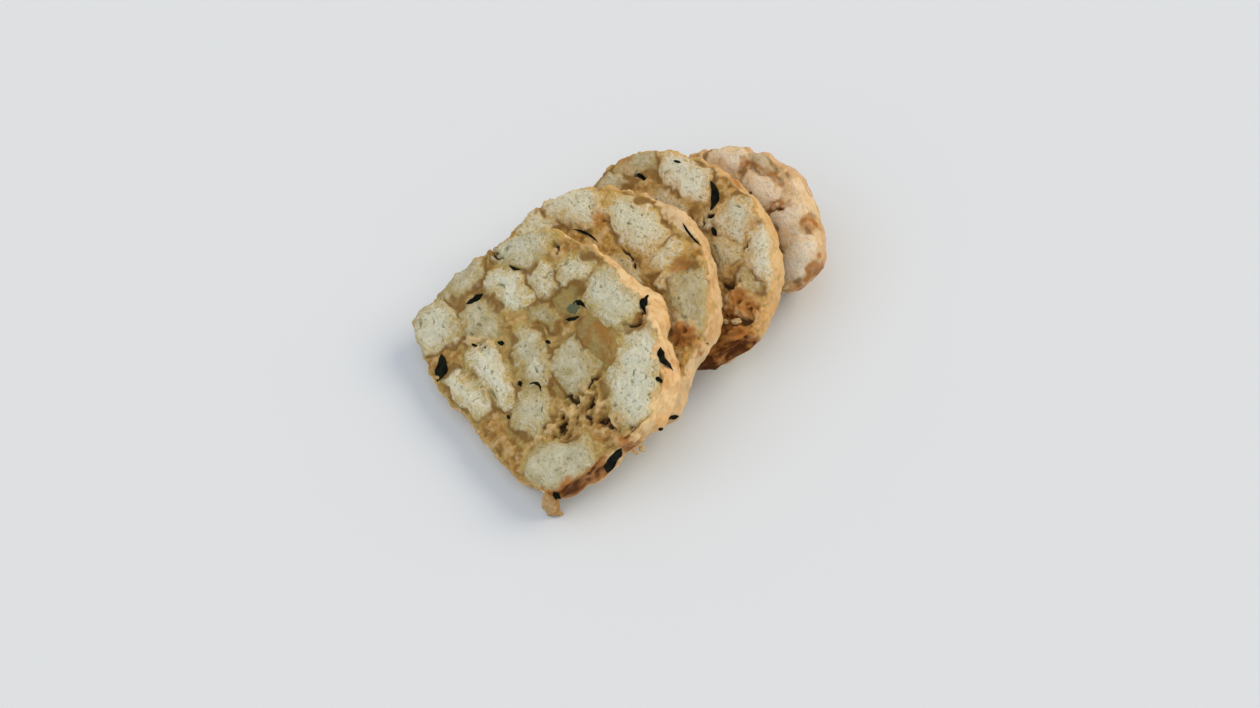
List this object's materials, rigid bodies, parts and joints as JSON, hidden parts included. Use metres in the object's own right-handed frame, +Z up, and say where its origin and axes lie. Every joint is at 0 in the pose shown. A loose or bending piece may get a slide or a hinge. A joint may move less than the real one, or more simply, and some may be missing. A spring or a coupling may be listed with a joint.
{
  "type": "sliced bread dumpling",
  "caption": "Boiled loaf dumpling of white bread cubes with herbs, cut across into thick slices and a domed heel that lean on one another in a fanned row.",
  "frame": {"origin": "on the floor, under the middle of the row's bounding box", "axes": "+X along the row from the front slice to the heel, +Z up"},
  "size_m": [0.1415, 0.0989, 0.0425],
  "materials": {
    "front_slice_crumb": "moist pale crumb with tan binder and herb flecks",
    "second_slice_crumb": "moist pale crumb with cream cooked skin",
    "third_slice_crumb": "moist pale crumb, browned at its foot",
    "heel_crumb": "moist pale crumb with golden cooked skin"
  },
  "bodies": {
    "root": {"slice_1": "front_slice_crumb", "slice_2": "second_slice_crumb", "slice_3": "third_slice_crumb", "heel": "heel_crumb"}
  },
  "joints": []
}
